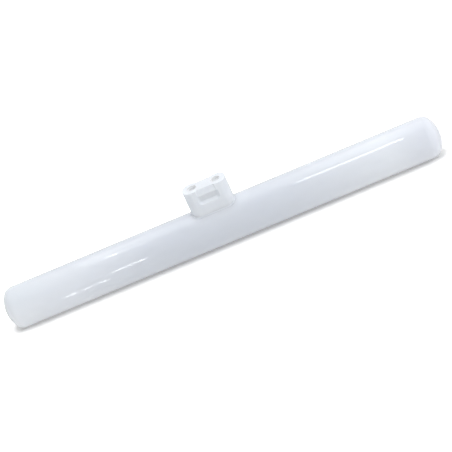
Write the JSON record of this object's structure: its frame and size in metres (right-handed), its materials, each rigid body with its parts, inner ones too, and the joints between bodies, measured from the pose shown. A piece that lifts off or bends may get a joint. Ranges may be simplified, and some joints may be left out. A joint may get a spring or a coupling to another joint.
{
  "type": "tubular light bulb",
  "caption": "Straight white opal tube lamp with domed ends and a central plug-in cap that has recessed contacts and side clip notches.",
  "frame": {"origin": "centre of the cap's flat contact face", "axes": "+Z out of the contact face, away from the tube; +X along the tube; +Y across it"},
  "size_m": [0.3, 0.028, 0.045],
  "materials": {
    "opal_glass": "opal white, coated inside, glossy outside",
    "cap_moulding": "white moulded plastic, satin gloss",
    "cement": "pale grey set cement",
    "contact_metal": "nickel plated, turned"
  },
  "bodies": {
    "root": {"opal_tube": "opal_glass", "base_cap": "cap_moulding", "cement_bed": "cement", "contact_left": "contact_metal", "contact_right": "contact_metal"}
  },
  "joints": []
}
